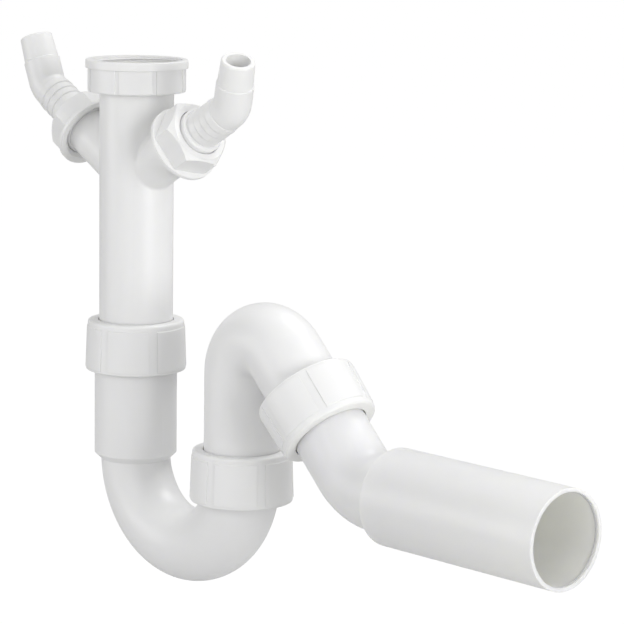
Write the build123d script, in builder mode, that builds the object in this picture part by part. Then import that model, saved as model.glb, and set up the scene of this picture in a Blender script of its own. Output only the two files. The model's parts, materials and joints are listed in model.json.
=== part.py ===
from build123d import *
import math
import os

os.makedirs("parts", exist_ok=True)

# A tubular sink trap: inlet tube with two hose branches, U bend, gooseneck and outlet bend.
# Millimetres. The origin is the centre of the inlet nut's top rim, +Z is up,
# and +X is the way the outlet pipe points. Every axis lies in the XZ plane.

# Fits
slide_gap = 0.4
turn_gap = 0.3
face_gap = 0.2
opening_gap = 0.6
end_gap = 1.0

# Waste tube
tube_radius = 20.0
tube_wall = 2.2
tube_length = 186.0
spigot_chamfer = 1.2
collar_step = 3.0

# Inlet nut, with a female thread of nominal 1 1/2 inch, and its washer
inlet_thread_gap = 0.9
inlet_mouth_step = 0.5
inlet_nut_wall = 2.1
inlet_nut_height = 17.2
inlet_flange_step = 1.6
inlet_flange_height = 4.4
inlet_lip = 3.2
inlet_grip_count = 8
inlet_grip_arc = 40.0
inlet_grip_turn = 28.6
edge_break = 0.6
washer_depth = 3.2
washer_thickness = 2.6
washer_setback = 1.7

# Hose branches on both sides of the inlet tube
branch_level = -64.5
branch_rise = 30.0
port_radius = 13.2
port_wall = 3.7
port_thread_step = 1.4
port_fillet = 2.0
branch_nut_start = 43.5
branch_nut_length = 16.0
branch_nut_wall = 1.8
branch_hex_turn = 17.0
branch_collar_step = 1.1
branch_collar_height = 2.0
branch_front_wall = 1.5
branch_lip = 3.2
branch_chamfer = 3.0
branch_seal_thickness = 2.0

# Hose nozzle, and the angle that the right one is swivelled by
nozzle_flange_thickness = 2.4
nozzle_neck_step = 1.8
nozzle_neck_length = 3.0
nozzle_leg_radius = 10.6
nozzle_leg_length = 19.5
nozzle_bend_radius = 10.0
nozzle_bend_sweep = 28.0
nozzle_bend_angle = 38.0
nozzle_tip_radius = 8.9
nozzle_tip_length = 19.2
nozzle_stop_length = 14.2
nozzle_wall = 3.6
barb_step = 0.8
barb_pitch = 7.2
barb_margin = 1.5
right_nozzle_turn = 20.0

# Slip nut and seal, the same on all three slip joints
nut_height = 27.2
nut_wall = 1.7
nut_flare = 1.0
nut_edge_radius = 1.4
nut_foot_radius = 0.7
nut_lip = 3.2
thread_wall = 3.7
thread_relief = 0.8
grip_count = 6
grip_arc = 50.0
grip_turn = 45.6
grip_height = 0.4
grip_top_margin = 3.6
grip_bottom_margin = 1.6
seal_height = 4.0

# U bend
tube_insertion = 50.8
socket_length = 73.4
socket_wall = 2.0
socket_seat = 1.0
socket_taper = 4.0
leg_spacing = 87.0
bend_inlet_radius = 18.8
bend_outlet_radius = 20.4
trap_nut_rise = 15.9
trap_socket_depth = 16.0

# Gooseneck
gooseneck_step = 0.1
gooseneck_crotch = 1.3
gooseneck_rise = 40.7
gooseneck_fall = 45.0
outlet_nut_end = 48.8
outlet_socket_depth = 16.0

# Outlet bend and its larger pipe
outlet_step = 0.3
elbow_start = 71.9
elbow_crotch = 9.8
pipe_step = 5.3
pipe_wall = 2.0
pipe_length = 115.0
shoulder_offset = 8.5
shoulder_fillet = 1.8

# Radii that follow from the sizes above
tube_bore = tube_radius - tube_wall
collar_radius = tube_radius + collar_step
inlet_thread_radius = collar_radius + inlet_thread_gap
inlet_mouth_radius = inlet_thread_radius + inlet_mouth_step
inlet_nut_radius = inlet_thread_radius + inlet_nut_wall
inlet_flange_radius = inlet_nut_radius + inlet_flange_step
washer_bore = tube_bore + washer_setback
port_bore = port_radius - port_wall
port_thread_radius = port_radius + port_thread_step
branch_bore = port_thread_radius + turn_gap
branch_hex_radius = (branch_bore + branch_nut_wall) / math.cos(math.pi / 6)
branch_collar_radius = branch_hex_radius + branch_collar_step
branch_front_radius = branch_bore + branch_front_wall
nozzle_neck_radius = nozzle_leg_radius + nozzle_neck_step
nozzle_bore = nozzle_bend_radius - nozzle_wall
socket_bore = tube_radius + slide_gap
socket_radius = socket_bore + socket_wall
thread_radius = socket_bore + thread_wall
nut_bore = thread_radius + turn_gap
nut_top_radius = nut_bore + nut_wall
nut_bottom_radius = nut_top_radius + nut_flare
gooseneck_radius = tube_radius + gooseneck_step
gooseneck_bore = gooseneck_radius - tube_wall
gooseneck_sweep = gooseneck_bore + gooseneck_crotch
outlet_radius = tube_radius - outlet_step
elbow_sweep = outlet_radius + elbow_crotch
pipe_radius = outlet_radius + pipe_step

# Heights and lengths that follow from the sizes above
inlet_mouth_depth = washer_depth - face_gap
collar_top = -washer_depth - washer_thickness
collar_bottom = face_gap + inlet_lip - inlet_nut_height
tube_bottom = collar_top - tube_length
slip_nut_top = tube_bottom + tube_insertion
bend_level = slip_nut_top - socket_length
trap_nut_top = bend_level + trap_nut_rise
gooseneck_level = trap_nut_top + gooseneck_rise
boss_drop = nut_lip + seal_height + 2 * face_gap
boss_length = nut_height - boss_drop - thread_relief
port_end = branch_nut_length - branch_lip - nozzle_flange_thickness - branch_seal_thickness - 3 * face_gap
bend_radius = leg_spacing / 2


def across(x, z, rise):
    """Plane across an axis in the XZ plane that climbs at a rise in degrees; its z is the axis."""
    angle = math.radians(rise)
    return Plane(
        origin=(x, 0, z),
        x_dir=(math.sin(angle), 0, -math.cos(angle)),
        z_dir=(math.cos(angle), 0, math.sin(angle)),
    )


def along(plane, turn=0.0):
    """Plane through the axis of an across plane: x is the radius and y runs up the axis."""
    radial = plane.x_dir.rotate(Axis((0, 0, 0), plane.z_dir), turn)
    return Plane(origin=plane.origin, x_dir=radial, z_dir=radial.cross(plane.z_dir))


def axis_of(plane):
    return Axis(plane.origin, plane.z_dir)


def after_bend(x, z, rise, sweep, turn):
    """Point where an arc ends that turns a climbing path by an angle, upwards when positive."""
    side = math.copysign(sweep, turn)
    first = math.radians(rise)
    last = math.radians(rise + turn)
    end_x = x + side * (math.sin(last) - math.sin(first))
    end_z = z + side * (math.cos(first) - math.cos(last))
    return end_x, end_z


def further(x, z, rise, length):
    """Point at a length along a climbing straight run."""
    angle = math.radians(rise)
    return x + length * math.cos(angle), z + length * math.sin(angle)


def ring(plane, inner, outer, bottom, height):
    """Turned flat ring on the axis of a plane."""
    with BuildPart() as body:
        with BuildSketch(plane.offset(bottom)):
            Circle(outer)
            Circle(inner, mode=Mode.SUBTRACT)
        extrude(amount=height)
    return body.part


def slip_nut(plane, held_radius):
    """Slip nut with wide grip pads and its crown at the plane; the threaded skirt lies below it."""
    opening = held_radius + opening_gap
    taper = nut_flare / nut_height
    grip_top = -grip_top_margin
    grip_bottom = grip_bottom_margin - nut_height
    grip_root = (nut_bore + nut_top_radius) / 2
    with BuildPart() as nut:
        with BuildSketch(along(plane)):
            with BuildLine():
                Polyline(
                    (opening, 0),
                    (nut_top_radius, 0),
                    (nut_bottom_radius, -nut_height),
                    (nut_bore, -nut_height),
                    (nut_bore, -nut_lip),
                    (opening, -nut_lip),
                    close=True,
                )
            make_face()
        revolve(axis=axis_of(plane))
        flats = nut.faces().filter_by(GeomType.PLANE).sort_by(axis_of(plane))
        fillet(flats[-1].outer_wire().edges(), nut_edge_radius)
        flats = nut.faces().filter_by(GeomType.PLANE).sort_by(axis_of(plane))
        fillet(flats[0].outer_wire().edges(), nut_foot_radius)
        for number in range(grip_count):
            with BuildSketch(along(plane, grip_turn + number * 360 / grip_count)):
                with BuildLine():
                    Polyline(
                        (grip_root, grip_top),
                        (nut_top_radius - taper * grip_top, grip_top + grip_height),
                        (nut_top_radius - taper * grip_top + grip_height, grip_top),
                        (nut_top_radius - taper * grip_bottom + grip_height, grip_bottom),
                        (grip_root, grip_bottom),
                        close=True,
                    )
                make_face()
            revolve(axis=axis_of(plane), revolution_arc=grip_arc)
    return nut.part


def slip_seal(plane, held_radius):
    """Seal ring under the lip of a slip nut."""
    bottom = -nut_lip - face_gap - seal_height
    return ring(plane, held_radius + turn_gap, thread_radius, bottom, seal_height)


# Inlet nut: top flange, plain mouth, threaded bore and the lip that draws the tube's collar up
inlet_plane = across(0, 0, 90)
inlet_opening = tube_radius + opening_gap
with BuildPart() as inlet_nut:
    with BuildSketch(along(inlet_plane)):
        with BuildLine():
            Polyline(
                (inlet_mouth_radius, 0),
                (inlet_flange_radius, 0),
                (inlet_flange_radius, -inlet_flange_height),
                (inlet_nut_radius, -inlet_flange_height),
                (inlet_nut_radius, -inlet_nut_height),
                (inlet_opening, -inlet_nut_height),
                (inlet_opening, inlet_lip - inlet_nut_height),
                (inlet_thread_radius, inlet_lip - inlet_nut_height),
                (inlet_thread_radius, -inlet_mouth_depth),
                (inlet_mouth_radius, -inlet_mouth_depth),
                close=True,
            )
        make_face()
    revolve(axis=axis_of(inlet_plane))
    rim = inlet_nut.faces().sort_by(Axis.Z)[-1].outer_wire().edges()
    fillet(rim, edge_break)
    for number in range(inlet_grip_count):
        with BuildSketch(along(inlet_plane, inlet_grip_turn + number * 360 / inlet_grip_count)):
            with BuildLine():
                Polyline(
                    (inlet_nut_radius - grip_height, -inlet_flange_height),
                    (inlet_nut_radius + grip_height, -inlet_flange_height),
                    (inlet_nut_radius + grip_height, edge_break - inlet_nut_height),
                    (inlet_nut_radius, -inlet_nut_height),
                    (inlet_nut_radius - grip_height, -inlet_nut_height),
                    close=True,
                )
            make_face()
        revolve(axis=axis_of(inlet_plane), revolution_arc=inlet_grip_arc)
inlet_nut.part.label = "inlet_nut"
export_step(inlet_nut.part, "parts/inlet_nut.step")

# Flat washer on the tube's collar
inlet_washer = ring(inlet_plane, washer_bore, collar_radius, collar_top, washer_thickness)
inlet_washer.label = "inlet_washer"
export_step(inlet_washer, "parts/inlet_washer.step")

# Inlet tube: one moulding with the collar and the two hose ports
right_port = across(0, branch_level, branch_rise)
left_port = across(0, branch_level, 180 - branch_rise)
thread_start = branch_nut_start + branch_collar_height
thread_end = branch_nut_start + port_end
with BuildPart() as inlet_tube:
    with BuildSketch(along(inlet_plane)):
        with BuildLine():
            Polyline(
                (0, collar_top),
                (collar_radius, collar_top),
                (collar_radius, collar_bottom),
                (tube_radius, collar_bottom),
                (tube_radius, tube_bottom + spigot_chamfer),
                (tube_radius - spigot_chamfer, tube_bottom),
                (0, tube_bottom),
                close=True,
            )
        make_face()
    revolve(axis=axis_of(inlet_plane))
    for port in (left_port, right_port):
        with BuildSketch(along(port)):
            with BuildLine():
                Polyline(
                    (0, 0),
                    (port_radius, 0),
                    (port_radius, thread_start),
                    (port_thread_radius, thread_start),
                    (port_thread_radius, thread_end),
                    (0, thread_end),
                    close=True,
                )
            make_face()
        revolve(axis=axis_of(port))
    roots = inlet_tube.edges().filter_by(
        lambda edge: edge.geom_type not in (GeomType.LINE, GeomType.CIRCLE)
    )
    fillet(roots, port_fillet)
    with BuildSketch(Plane.XY.offset(tube_bottom)):
        Circle(tube_bore)
    extrude(amount=tube_length, mode=Mode.SUBTRACT)
    for port in (left_port, right_port):
        with BuildSketch(port):
            Circle(port_bore)
        extrude(amount=thread_end, mode=Mode.SUBTRACT)
inlet_tube.part.label = "inlet_tube"
export_step(inlet_tube.part, "parts/inlet_tube.step")

# Branch nut: hexagon with a round collar at its open end and a turned front
nut_plane = right_port.offset(branch_nut_start)
nozzle_opening = nozzle_neck_radius + turn_gap
with BuildPart() as right_branch_nut:
    with BuildSketch(nut_plane):
        RegularPolygon(branch_hex_radius, 6, rotation=branch_hex_turn)
    extrude(amount=branch_nut_length)
    with BuildSketch(along(nut_plane)):
        with BuildLine():
            Polyline(
                (0, 0),
                (branch_hex_radius, 0),
                (branch_hex_radius, branch_nut_length - branch_chamfer),
                (branch_front_radius, branch_nut_length - edge_break),
                (branch_front_radius - edge_break, branch_nut_length),
                (0, branch_nut_length),
                close=True,
            )
        make_face()
    revolve(axis=axis_of(nut_plane), mode=Mode.INTERSECT)
    with BuildSketch(nut_plane):
        Circle(branch_collar_radius)
    extrude(amount=branch_collar_height)
    with BuildSketch(along(nut_plane)):
        with BuildLine():
            Polyline(
                (0, 0),
                (branch_bore + branch_collar_height, 0),
                (branch_bore, branch_collar_height),
                (branch_bore, branch_nut_length - branch_lip),
                (nozzle_opening, branch_nut_length - branch_lip),
                (nozzle_opening, branch_nut_length),
                (0, branch_nut_length),
                close=True,
            )
        make_face()
    revolve(axis=axis_of(nut_plane), mode=Mode.SUBTRACT)
right_branch_nut.part.label = "right_branch_nut"
export_step(right_branch_nut.part, "parts/right_branch_nut.step")

# Branch seal between the port and the nozzle's flange
flange_radius = port_thread_radius - turn_gap
seal_start = port_end + face_gap
right_branch_seal = ring(nut_plane, port_bore, flange_radius, seal_start, branch_seal_thickness)
right_branch_seal.label = "right_branch_seal"
export_step(right_branch_seal, "parts/right_branch_seal.step")

# Hose nozzle: flanged leg with two ring barbs, a bend and a tapered tip above a hose stop
flange_start = seal_start + branch_seal_thickness + face_gap
flange_end = flange_start + nozzle_flange_thickness
neck_end = branch_nut_length + nozzle_neck_length
leg_end = branch_nut_length + nozzle_leg_length
second_barb = leg_end - barb_margin
first_barb = second_barb - barb_pitch
hose_stop = nozzle_tip_length - nozzle_stop_length
tip_rise = branch_rise + nozzle_bend_angle
bend_plane = nut_plane.offset(leg_end)
bend_start = (bend_plane.origin.X, bend_plane.origin.Z)
tip_plane = across(*after_bend(*bend_start, branch_rise, nozzle_bend_sweep, nozzle_bend_angle), tip_rise)
with BuildPart() as hose_nozzle:
    with BuildSketch(along(nut_plane)):
        with BuildLine():
            Polyline(
                (0, flange_start),
                (flange_radius, flange_start),
                (flange_radius, flange_end),
                (nozzle_neck_radius, flange_end),
                (nozzle_neck_radius, neck_end - edge_break),
                (nozzle_neck_radius - edge_break, neck_end),
                (nozzle_leg_radius, neck_end),
                (nozzle_leg_radius + barb_step, first_barb),
                (nozzle_leg_radius, first_barb),
                (nozzle_bend_radius + barb_step, second_barb),
                (nozzle_bend_radius, second_barb),
                (nozzle_bend_radius, leg_end),
                (0, leg_end),
                close=True,
            )
        make_face()
    revolve(axis=axis_of(nut_plane))
    with BuildLine(Plane.XZ) as nozzle_bend:
        JernArc(
            bend_start,
            (math.cos(math.radians(branch_rise)), math.sin(math.radians(branch_rise))),
            nozzle_bend_sweep,
            nozzle_bend_angle,
        )
    with BuildSketch(bend_plane):
        Circle(nozzle_bend_radius)
    sweep(path=nozzle_bend.wire())
    with BuildSketch(along(tip_plane)):
        with BuildLine():
            Polyline(
                (0, 0),
                (nozzle_bend_radius, 0),
                (nozzle_bend_radius, hose_stop),
                (nozzle_bend_radius - edge_break, hose_stop + edge_break),
                (nozzle_tip_radius, nozzle_tip_length - edge_break),
                (nozzle_tip_radius - edge_break, nozzle_tip_length),
                (0, nozzle_tip_length),
                close=True,
            )
        make_face()
    revolve(axis=axis_of(tip_plane))
    with BuildSketch(nut_plane.offset(flange_start)):
        Circle(nozzle_bore)
    extrude(amount=leg_end - flange_start, mode=Mode.SUBTRACT)
    with BuildSketch(bend_plane):
        Circle(nozzle_bore)
    sweep(path=nozzle_bend.wire(), mode=Mode.SUBTRACT)
    with BuildSketch(tip_plane):
        Circle(nozzle_bore)
    extrude(amount=nozzle_tip_length, mode=Mode.SUBTRACT)
right_hose_nozzle = hose_nozzle.part.rotate(axis_of(nut_plane), right_nozzle_turn)
right_hose_nozzle.label = "right_hose_nozzle"
export_step(right_hose_nozzle, "parts/right_hose_nozzle.step")

# The left branch is the mirror image of the right one, with its nozzle upright
branch_pieces = {
    "left_branch_nut": right_branch_nut.part,
    "left_branch_seal": right_branch_seal,
    "left_hose_nozzle": hose_nozzle.part,
}
for name, piece in branch_pieces.items():
    with BuildPart() as mirrored:
        mirror(piece, about=Plane.YZ)
    mirrored.part.label = name
    export_step(mirrored.part, f"parts/{name}.step")

# U bend: telescopic socket, tapered bend and the threaded end that takes the gooseneck
slip_plane = across(0, slip_nut_top, 90)
trap_plane = across(leg_spacing, trap_nut_top, 90)
socket_floor = bend_level + socket_seat
trap_bore = gooseneck_radius + slide_gap
trap_boss_top = trap_nut_top - boss_drop
trap_floor = trap_boss_top - trap_socket_depth
with BuildPart() as u_bend:
    with BuildLine(Plane.XZ) as bend_path:
        JernArc((0, bend_level), (0, -1), bend_radius, 180)
    with BuildSketch(across(0, bend_level, -90)):
        Circle(bend_inlet_radius)
    with BuildSketch(across(leg_spacing, bend_level, 90)):
        Circle(bend_outlet_radius)
    sweep(path=bend_path.wire(), multisection=True)
    with BuildSketch(along(slip_plane)):
        with BuildLine():
            Polyline(
                (0, -boss_drop),
                (thread_radius, -boss_drop),
                (thread_radius, -boss_drop - boss_length),
                (socket_radius, -boss_drop - boss_length),
                (socket_radius, -socket_length),
                (bend_inlet_radius - edge_break, -socket_length - socket_taper),
                (0, -socket_length - socket_taper),
                close=True,
            )
        make_face()
    revolve(axis=axis_of(slip_plane))
    with BuildSketch(Plane((leg_spacing, 0, trap_boss_top))):
        Circle(thread_radius)
    extrude(amount=-boss_length)
    with BuildSketch(across(0, bend_level, -90)):
        Circle(bend_inlet_radius - tube_wall)
    with BuildSketch(across(leg_spacing, bend_level, 90)):
        Circle(bend_outlet_radius - tube_wall)
    sweep(path=bend_path.wire(), multisection=True, mode=Mode.SUBTRACT)
    with BuildSketch(Plane((0, 0, bend_level))):
        Circle(bend_inlet_radius - tube_wall)
    extrude(amount=socket_seat, mode=Mode.SUBTRACT)
    with BuildSketch(Plane((0, 0, socket_floor))):
        Circle(socket_bore)
    extrude(amount=slip_nut_top - socket_floor, mode=Mode.SUBTRACT)
    with BuildSketch(Plane((leg_spacing, 0, trap_floor))):
        Circle(trap_bore)
    extrude(amount=trap_socket_depth, mode=Mode.SUBTRACT)
u_bend.part.label = "u_bend"
export_step(u_bend.part, "parts/u_bend.step")

# Gooseneck: straight leg, a bend so tight that its inside is a crease, and the falling arm
gooseneck_bottom = trap_floor + end_gap
gooseneck_turn = -90 - gooseneck_fall
fall_rise = -gooseneck_fall
arm_start = after_bend(leg_spacing, gooseneck_level, 90, gooseneck_sweep, gooseneck_turn)
outlet_plane = across(*further(*arm_start, fall_rise, outlet_nut_end), fall_rise)
arm_length = outlet_nut_end - boss_drop
arm_end = further(*arm_start, fall_rise, arm_length)
outlet_bore = outlet_radius + slide_gap
crown_axis = Axis((leg_spacing + gooseneck_sweep, 0, gooseneck_level), (0, 1, 0))
with BuildPart() as gooseneck:
    with BuildSketch(Plane((leg_spacing, 0, gooseneck_bottom))):
        Circle(gooseneck_radius)
    extrude(amount=gooseneck_level - gooseneck_bottom)
    with BuildSketch(Plane((leg_spacing, 0, gooseneck_level))):
        Circle(gooseneck_radius)
        with Locations((gooseneck_sweep + gooseneck_radius, 0)):
            Rectangle(2 * gooseneck_radius, 2 * gooseneck_radius, mode=Mode.SUBTRACT)
    revolve(axis=crown_axis, revolution_arc=90 + gooseneck_fall)
    with BuildSketch(across(*arm_start, fall_rise)):
        Circle(gooseneck_radius)
    extrude(amount=arm_length)
    with BuildSketch(outlet_plane.offset(-boss_drop)):
        Circle(thread_radius)
    extrude(amount=-boss_length)
    with BuildLine(Plane.XZ) as waterway:
        Line((leg_spacing, gooseneck_bottom), (leg_spacing, gooseneck_level))
        JernArc((leg_spacing, gooseneck_level), (0, 1), gooseneck_sweep, gooseneck_turn)
        Line(arm_start, arm_end)
    with BuildSketch(across(leg_spacing, gooseneck_bottom, 90)):
        Circle(gooseneck_bore)
    sweep(path=waterway.wire(), mode=Mode.SUBTRACT)
    with BuildSketch(outlet_plane.offset(-boss_drop)):
        Circle(outlet_bore)
    extrude(amount=-outlet_socket_depth, mode=Mode.SUBTRACT)
gooseneck.part.label = "gooseneck"
export_step(gooseneck.part, "parts/gooseneck.step")

# Outlet bend: spigot, elbow and the larger pipe behind a rounded shoulder
spigot_start = further(*arm_start, fall_rise, arm_length - outlet_socket_depth + end_gap)
elbow_point = further(*arm_start, fall_rise, elbow_start)
pipe_start = after_bend(*elbow_point, fall_rise, elbow_sweep, gooseneck_fall)
pipe_plane = across(*pipe_start, 0)
pipe_bore = pipe_radius - pipe_wall
pipe_reach = shoulder_offset + pipe_length
with BuildPart() as outlet_bend:
    with BuildLine(Plane.XZ) as outlet_path:
        Line(spigot_start, elbow_point)
        JernArc(
            elbow_point,
            (math.cos(math.radians(fall_rise)), math.sin(math.radians(fall_rise))),
            elbow_sweep,
            gooseneck_fall,
        )
        Line(pipe_start, further(*pipe_start, 0, shoulder_offset))
    with BuildSketch(across(*spigot_start, fall_rise)):
        Circle(outlet_radius)
    sweep(path=outlet_path.wire())
    with BuildSketch(pipe_plane.offset(shoulder_offset)):
        Circle(pipe_radius)
    extrude(amount=pipe_length)
    shoulder = outlet_bend.edges().filter_by(GeomType.CIRCLE).filter_by(
        lambda edge: abs(edge.center().X - pipe_start[0] - shoulder_offset) < edge_break
    )
    fillet(shoulder, shoulder_fillet)
    with BuildSketch(across(*spigot_start, fall_rise)):
        Circle(outlet_radius - tube_wall)
    sweep(path=outlet_path.wire(), mode=Mode.SUBTRACT)
    with BuildSketch(pipe_plane.offset(pipe_reach)):
        Circle(pipe_bore)
    extrude(amount=pipe_wall - pipe_length, mode=Mode.SUBTRACT)
    with BuildSketch(pipe_plane.offset(shoulder_offset)):
        Circle(outlet_radius - tube_wall)
    extrude(amount=pipe_wall, mode=Mode.SUBTRACT)
outlet_bend.part.label = "outlet_bend"
export_step(outlet_bend.part, "parts/outlet_bend.step")

# Slip nuts and seals, one pair on each slip joint
slip_joints = {
    "inlet_slip": (slip_plane, tube_radius),
    "trap": (trap_plane, gooseneck_radius),
    "outlet": (outlet_plane, outlet_radius),
}
for joint, (plane, held_radius) in slip_joints.items():
    for kind, piece in (("nut", slip_nut(plane, held_radius)), ("seal", slip_seal(plane, held_radius))):
        piece.label = f"{joint}_{kind}"
        export_step(piece, f"parts/{joint}_{kind}.step")
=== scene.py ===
import bpy
import json
import math
from mathutils import Matrix, Vector


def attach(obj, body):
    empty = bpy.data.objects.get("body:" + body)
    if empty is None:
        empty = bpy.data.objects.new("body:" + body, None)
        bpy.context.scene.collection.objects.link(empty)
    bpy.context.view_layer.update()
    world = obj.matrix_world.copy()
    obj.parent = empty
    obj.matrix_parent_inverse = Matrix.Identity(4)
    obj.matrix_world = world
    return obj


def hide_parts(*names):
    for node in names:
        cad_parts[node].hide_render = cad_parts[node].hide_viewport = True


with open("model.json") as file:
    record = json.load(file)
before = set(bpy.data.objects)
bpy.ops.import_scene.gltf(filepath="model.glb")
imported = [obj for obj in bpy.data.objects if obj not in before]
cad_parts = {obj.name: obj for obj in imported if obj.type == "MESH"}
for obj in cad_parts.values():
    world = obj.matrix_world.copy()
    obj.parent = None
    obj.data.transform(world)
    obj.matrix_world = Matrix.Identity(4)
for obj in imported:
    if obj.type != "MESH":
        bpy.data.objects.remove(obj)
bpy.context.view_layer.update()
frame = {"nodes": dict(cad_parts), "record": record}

# Values that all the plastics share, lengths in metres
edge_softness = 0.0003
cloud_scale = 18.0
gloss_scale = 60.0
grain_scale = 900.0
grain_depth = 0.0002
plastic_ior = 1.49
light_reach = (1.0, 1.0, 0.82)


# Procedural materials
def new_material(name):
    material = bpy.data.materials.new(name)
    material.use_nodes = True
    nodes = material.node_tree.nodes
    nodes.clear()
    return material, nodes, material.node_tree.links


def noise(nodes, links, coords, scale, detail):
    texture = nodes.new("ShaderNodeTexNoise")
    texture.inputs["Scale"].default_value = scale
    texture.inputs["Detail"].default_value = detail
    links.new(coords, texture.inputs["Vector"])
    return texture.outputs["Fac"]


def spread(nodes, links, value, low, high):
    ranged = nodes.new("ShaderNodeMapRange")
    ranged.inputs["To Min"].default_value = low
    ranged.inputs["To Max"].default_value = high
    links.new(value, ranged.inputs["Value"])
    return ranged.outputs["Result"]


def moulded_plastic(name, dark, light, roughness, translucency, light_depth, grain):
    """Moulded plastic: a cloudy tint, an uneven gloss, a fine grain and softly broken edges."""
    material, nodes, links = new_material(name)
    coords = nodes.new("ShaderNodeTexCoord").outputs["Object"]
    tint = nodes.new("ShaderNodeMix")
    tint.data_type = "RGBA"
    tint.inputs["A"].default_value = (*dark, 1.0)
    tint.inputs["B"].default_value = (*light, 1.0)
    links.new(noise(nodes, links, coords, cloud_scale, detail=3.0), tint.inputs["Factor"])
    shader = nodes.new("ShaderNodeBsdfPrincipled")
    links.new(tint.outputs["Result"], shader.inputs["Base Color"])
    gloss = noise(nodes, links, coords, gloss_scale, detail=3.0)
    links.new(spread(nodes, links, gloss, *roughness), shader.inputs["Roughness"])
    shader.inputs["Subsurface Weight"].default_value = translucency
    shader.inputs["Subsurface Radius"].default_value = light_reach
    shader.inputs["Subsurface Scale"].default_value = light_depth
    shader.inputs["IOR"].default_value = plastic_ior
    rounded = nodes.new("ShaderNodeBevel")
    rounded.samples = 6
    rounded.inputs["Radius"].default_value = edge_softness
    bump = nodes.new("ShaderNodeBump")
    bump.inputs["Strength"].default_value = grain
    bump.inputs["Distance"].default_value = grain_depth
    links.new(noise(nodes, links, coords, grain_scale, detail=2.0), bump.inputs["Height"])
    links.new(rounded.outputs["Normal"], bump.inputs["Normal"])
    links.new(bump.outputs["Normal"], shader.inputs["Normal"])
    output = nodes.new("ShaderNodeOutputMaterial")
    links.new(shader.outputs["BSDF"], output.inputs["Surface"])
    return material


plastic = moulded_plastic(
    "white plastic",
    dark=(0.83, 0.83, 0.825),
    light=(0.87, 0.87, 0.865),
    roughness=(0.30, 0.42),
    translucency=0.25,
    light_depth=0.004,
    grain=0.06,
)
thin_plastic = moulded_plastic(
    "thin white plastic",
    dark=(0.91, 0.91, 0.865),
    light=(0.94, 0.94, 0.895),
    roughness=(0.30, 0.42),
    translucency=0.78,
    light_depth=0.0068,
    grain=0.06,
)
rubber = moulded_plastic(
    "pale rubber",
    dark=(0.72, 0.72, 0.70),
    light=(0.80, 0.80, 0.78),
    roughness=(0.5, 0.65),
    translucency=0.3,
    light_depth=0.004,
    grain=0.15,
)
thin_walled = {"outlet_bend"}
by_slot = {"white_plastic": plastic, "seal_rubber": rubber}
slot_of = {part["node"]: part["material_slot"] for part in frame["record"]["subparts"]}
for name, node in frame["nodes"].items():
    node.data.materials.clear()
    node.data.materials.append(thin_plastic if name in thin_walled else by_slot[slot_of[name]])


# Inside thread at the mouth of the inlet nut
def helical_ridge(name, wall_radius, depth, pitch, top, turns, width):
    """A closed ridge that winds down the inside of a round wall and runs out at both ends."""
    steps_per_turn = 96
    steps = round(turns * steps_per_turn)
    run_out = steps_per_turn // 6
    sunk = 0.0002
    points = []
    for step in range(steps + 1):
        angle = math.tau * step / steps_per_turn
        level = top - pitch * step / steps_per_turn
        height = depth * min(1.0, step / run_out, (steps - step) / run_out)
        section = (
            (wall_radius + sunk, level + width / 2),
            (wall_radius - height, level + width / 8),
            (wall_radius - height, level - width / 8),
            (wall_radius + sunk, level - width / 2),
        )
        points += [(r * math.cos(angle), r * math.sin(angle), z) for r, z in section]
    faces = [(0, 1, 2, 3), tuple(4 * steps + corner for corner in (3, 2, 1, 0))]
    for step in range(steps):
        for corner in range(4):
            first = 4 * step + corner
            beside = 4 * step + (corner + 1) % 4
            faces.append((first, first + 4, beside + 4, beside))
    mesh = bpy.data.meshes.new(name)
    mesh.from_pydata(points, [], faces)
    ridge = bpy.data.objects.new(name, mesh)
    bpy.context.collection.objects.link(ridge)
    return ridge


thread = helical_ridge(
    "inlet_nut_thread",
    wall_radius=0.02445,
    depth=0.0010,
    pitch=0.00231,
    top=-0.0009,
    turns=0.65,
    width=0.0014,
)
thread.data.materials.append(plastic)
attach(thread, "inlet_nut")

# Fine raised ring just inside the mouth of the outlet pipe
mouth_centre = Vector((0.3132, 0.0, -0.20372))
mouth_bore = 0.0230
bead_radius = 0.0005
bead_steps = 96
bead_sides = 10


def mouth_bead(name):
    points = []
    for step in range(bead_steps):
        around = math.tau * step / bead_steps
        for side in range(bead_sides):
            angle = math.tau * side / bead_sides
            reach = mouth_bore + bead_radius * math.sin(angle)
            spot = Vector((bead_radius * math.cos(angle), reach * math.cos(around), reach * math.sin(around)))
            points.append(mouth_centre + spot)
    faces = []
    for step in range(bead_steps):
        here = step * bead_sides
        there = (step + 1) % bead_steps * bead_sides
        for side in range(bead_sides):
            following = (side + 1) % bead_sides
            faces.append((here + side, here + following, there + following, there + side))
    mesh = bpy.data.meshes.new(name)
    mesh.from_pydata(points, [], faces)
    mesh.polygons.foreach_set("use_smooth", [True] * len(faces))
    bead = bpy.data.objects.new(name, mesh)
    bpy.context.collection.objects.link(bead)
    return bead


bead = mouth_bead("outlet_mouth_bead")
bead.data.materials.append(thin_plastic)
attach(bead, "outlet_bend")

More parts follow.
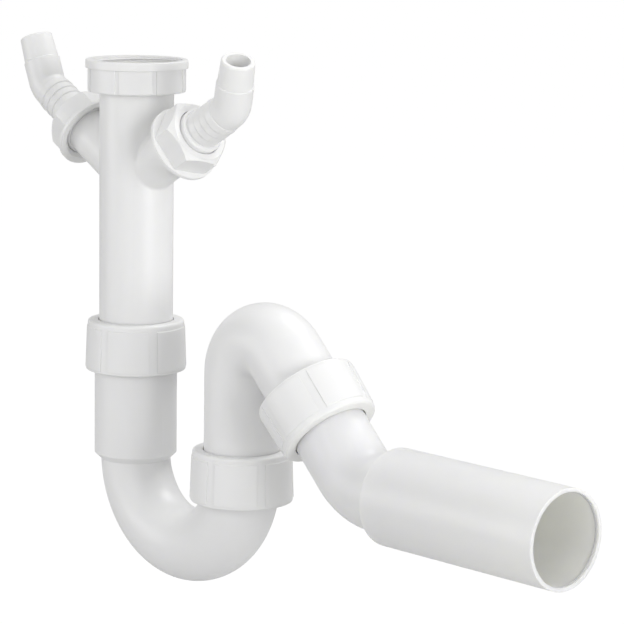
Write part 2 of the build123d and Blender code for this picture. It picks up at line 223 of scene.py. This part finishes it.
# Hose nozzles with crisp ring barbs and a tight bend, in the place of the plainer solids.
# Distances run along the nozzle's path from the point where the branch axes meet.
branch_root = Vector((0.0, 0.0, -0.0645))
branch_rise = math.radians(30.0)
branch_axis = Vector((math.cos(branch_rise), 0.0, math.sin(branch_rise)))
nozzle_swivels = {"left": 0.0, "right": math.radians(20.0)}
nozzle_sides = 72
sharp_edge = math.radians(35.0)
bore_radius = 0.0064
flange_radius = 0.0143
flange_start = 0.0537
flange_end = 0.0561
neck_radius = 0.0124
neck_end = 0.0625
neck_chamfer = 0.0006
leg_radius = 0.0104
leg_end = 0.08485
barb_count = 4
barb_pitch = 0.0048
barb_radius = 0.0106
barb_low_radius = 0.0102
barb_rise = 0.0005
barb_land = 0.0005
barb_drop = 0.0002
groove_radius = 0.0099
groove_rise = 0.0004
barb_end = leg_end - 0.0022
bend_angle = math.radians(38.0)
bend_sweep = 0.011
bend_radius = 0.0100
bend_steps = 16
bend_length = bend_sweep * bend_angle
bend_end = leg_end + bend_length
stop_at = bend_end + 0.01085
stop_slope = 0.0005
stop_radius = 0.0095
tip_end = bend_end + 0.02505
tip_radius = 0.0089
tip_chamfer = 0.0006


def nozzle_profile():
    """Distances along the nozzle's path with outside radii, from the flange to the tip."""
    profile = [
        (flange_start, flange_radius),
        (flange_end, flange_radius),
        (flange_end, neck_radius),
        (neck_end - neck_chamfer, neck_radius),
        (neck_end, neck_radius - neck_chamfer),
        (neck_end, leg_radius),
    ]
    for barb in range(barb_count, 0, -1):
        foot = barb_end - barb * barb_pitch
        profile += [
            (foot, groove_radius),
            (foot + barb_rise, barb_radius),
            (foot + barb_rise + barb_land, barb_radius),
            (foot + barb_pitch - barb_drop, barb_low_radius),
        ]
    profile += [(barb_end, groove_radius), (barb_end + groove_rise, bend_radius), (leg_end, bend_radius)]
    for step in range(1, bend_steps + 1):
        profile.append((leg_end + bend_length * step / bend_steps, bend_radius))
    profile += [
        (stop_at, bend_radius),
        (stop_at + stop_slope, stop_radius),
        (tip_end - tip_chamfer, tip_radius),
        (tip_end, tip_radius - tip_chamfer),
    ]
    return profile


def nozzle_place(distance):
    """The point at a distance along the path in the XZ plane, and the slope of the path there."""
    if distance <= leg_end:
        return branch_root + branch_axis * distance, branch_rise
    slope = branch_rise + min((distance - leg_end) / bend_sweep, bend_angle)
    inward = Vector((-branch_axis.z, 0.0, branch_axis.x))
    centre = branch_root + branch_axis * leg_end + inward * bend_sweep
    point = centre + Vector((math.sin(slope), 0.0, -math.cos(slope))) * bend_sweep
    past_bend = max(0.0, distance - bend_end)
    return point + Vector((math.cos(slope), 0.0, math.sin(slope))) * past_bend, slope


def hose_nozzle(name, side, swivel):
    """A hollow nozzle on the right branch, swivelled about that branch, or mirrored to the left one."""
    profile = nozzle_profile()
    distances = sorted({distance for distance, radius in profile}, reverse=True)
    rings = profile + [(distance, bore_radius) for distance in distances]
    turned = Matrix.Rotation(swivel, 4, branch_axis)
    points = []
    for distance, radius in rings:
        point, slope = nozzle_place(distance)
        across = Vector((-math.sin(slope), 0.0, math.cos(slope)))
        beside = Vector((0.0, 1.0, 0.0))
        for index in range(nozzle_sides):
            angle = math.tau * index / nozzle_sides
            reach = across * math.cos(angle) + beside * math.sin(angle)
            spot = branch_root + turned @ (point + reach * radius - branch_root)
            points.append((side * spot.x, spot.y, spot.z))
    faces = []
    for ring in range(len(rings)):
        here = ring * nozzle_sides
        there = (ring + 1) % len(rings) * nozzle_sides
        for index in range(nozzle_sides):
            following = (index + 1) % nozzle_sides
            face = (here + index, here + following, there + following, there + index)
            faces.append(face if side < 0 else face[::-1])
    mesh = bpy.data.meshes.new(name)
    mesh.from_pydata(points, [], faces)
    mesh.polygons.foreach_set("use_smooth", [True] * len(faces))
    mesh.set_sharp_from_angle(angle=sharp_edge)
    nozzle = bpy.data.objects.new(name, mesh)
    bpy.context.collection.objects.link(nozzle)
    return nozzle


for branch, side in (("left", -1.0), ("right", 1.0)):
    nozzle = hose_nozzle(f"{branch}_barbed_nozzle", side, nozzle_swivels[branch])
    nozzle.data.materials.append(plastic)
    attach(nozzle, f"{branch}_nozzle")
    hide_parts(f"{branch}_hose_nozzle")

# Floor: pale, lifted to white for the camera, with a share of plain matte left for the shadow
floor_size = 60.0
floor_level = -0.45
floor_colour = 0.58
floor_white = 1.12
floor_white_share = 0.85


def floor_material(name):
    material, nodes, links = new_material(name)
    paths = nodes.new("ShaderNodeLightPath")
    share = nodes.new("ShaderNodeMath")
    share.operation = "MULTIPLY"
    share.inputs[1].default_value = floor_white_share
    glow = nodes.new("ShaderNodeEmission")
    glow.inputs["Color"].default_value = (floor_white, floor_white, floor_white, 1.0)
    matte = nodes.new("ShaderNodeBsdfDiffuse")
    matte.inputs["Color"].default_value = (floor_colour, floor_colour, floor_colour, 1.0)
    mix = nodes.new("ShaderNodeMixShader")
    links.new(paths.outputs["Is Camera Ray"], share.inputs[0])
    links.new(share.outputs["Value"], mix.inputs["Fac"])
    links.new(matte.outputs["BSDF"], mix.inputs[1])
    links.new(glow.outputs["Emission"], mix.inputs[2])
    output = nodes.new("ShaderNodeOutputMaterial")
    links.new(mix.outputs["Shader"], output.inputs["Surface"])
    return material


bpy.ops.mesh.primitive_plane_add(size=floor_size, location=(0.1, 0.0, floor_level))
floor = bpy.context.object
floor.name = "floor"
floor.data.materials.append(floor_material("floor white"))

# Sky: an even soft light that the camera sees as white
sky_light = 0.57
sky_white = 1.0
world = bpy.data.worlds.new("sky")
bpy.context.scene.world = world
world.use_nodes = True
sky_nodes = world.node_tree.nodes
sky_links = world.node_tree.links
sky_nodes.clear()
sky_path = sky_nodes.new("ShaderNodeLightPath")
sky_lit = sky_nodes.new("ShaderNodeBackground")
sky_lit.inputs["Color"].default_value = (1.0, 1.0, 1.0, 1.0)
sky_lit.inputs["Strength"].default_value = sky_light
sky_seen = sky_nodes.new("ShaderNodeBackground")
sky_seen.inputs["Color"].default_value = (1.0, 1.0, 1.0, 1.0)
sky_seen.inputs["Strength"].default_value = sky_white
sky_mix = sky_nodes.new("ShaderNodeMixShader")
sky_out = sky_nodes.new("ShaderNodeOutputWorld")
sky_links.new(sky_path.outputs["Is Camera Ray"], sky_mix.inputs["Fac"])
sky_links.new(sky_lit.outputs["Background"], sky_mix.inputs[1])
sky_links.new(sky_seen.outputs["Background"], sky_mix.inputs[2])
sky_links.new(sky_mix.outputs["Shader"], sky_out.inputs["Surface"])

# Camera at the photograph's angle
azimuth = math.radians(46.61)
elevation = math.radians(9.74)
roll = math.radians(0.79)
camera_distance = 1.569
focal_pixels = 2887.92
image_pixels = 624.0
sensor_width = 36.0
target_right = 0.09555
target_height = -0.1374
back = Vector((
    math.sin(azimuth) * math.cos(elevation),
    -math.cos(azimuth) * math.cos(elevation),
    math.sin(elevation),
))
level_right = Vector((math.cos(azimuth), math.sin(azimuth), 0.0))
level_up = back.cross(level_right)
right = level_right * math.cos(roll) + level_up * math.sin(roll)
up = level_up * math.cos(roll) - level_right * math.sin(roll)
target = right * target_right + Vector((0.0, 0.0, target_height))
camera = bpy.data.cameras.new("camera")
camera.sensor_width = sensor_width
camera.lens = sensor_width * focal_pixels / image_pixels
camera.clip_end = floor_size
camera_holder = bpy.data.objects.new("camera", camera)
bpy.context.collection.objects.link(camera_holder)
facing = Matrix((right, up, back)).transposed().to_4x4()
camera_holder.matrix_world = Matrix.Translation(target + back * camera_distance) @ facing
bpy.context.scene.camera = camera_holder

# Soft square lamps, each by its direction from the object's middle and its power in watts
middle = Vector((0.11, 0.0, -0.13))
lamp_distance = 1.7
lamp_width = 0.8
lamps = {
    "key lamp": ((1.0, -0.04, 0.14), 13.2),
    "top lamp": ((0.0, 0.55, 1.0), 11.2),
    "left lamp": ((-0.6, -0.8, 0.1), 4.8),
    "front lamp": ((0.3, -1.0, 0.4), 4.0),
}
for name, (direction, watts) in lamps.items():
    lamp = bpy.data.lights.new(name, "AREA")
    lamp.shape = "SQUARE"
    lamp.size = lamp_width
    lamp.energy = watts
    lamp_holder = bpy.data.objects.new(name, lamp)
    bpy.context.collection.objects.link(lamp_holder)
    outward = Vector(direction).normalized()
    lamp_holder.location = middle + outward * lamp_distance
    lamp_holder.rotation_euler = (-outward).to_track_quat("-Z", "Y").to_euler()

bpy.context.scene.view_settings.view_transform = "Standard"
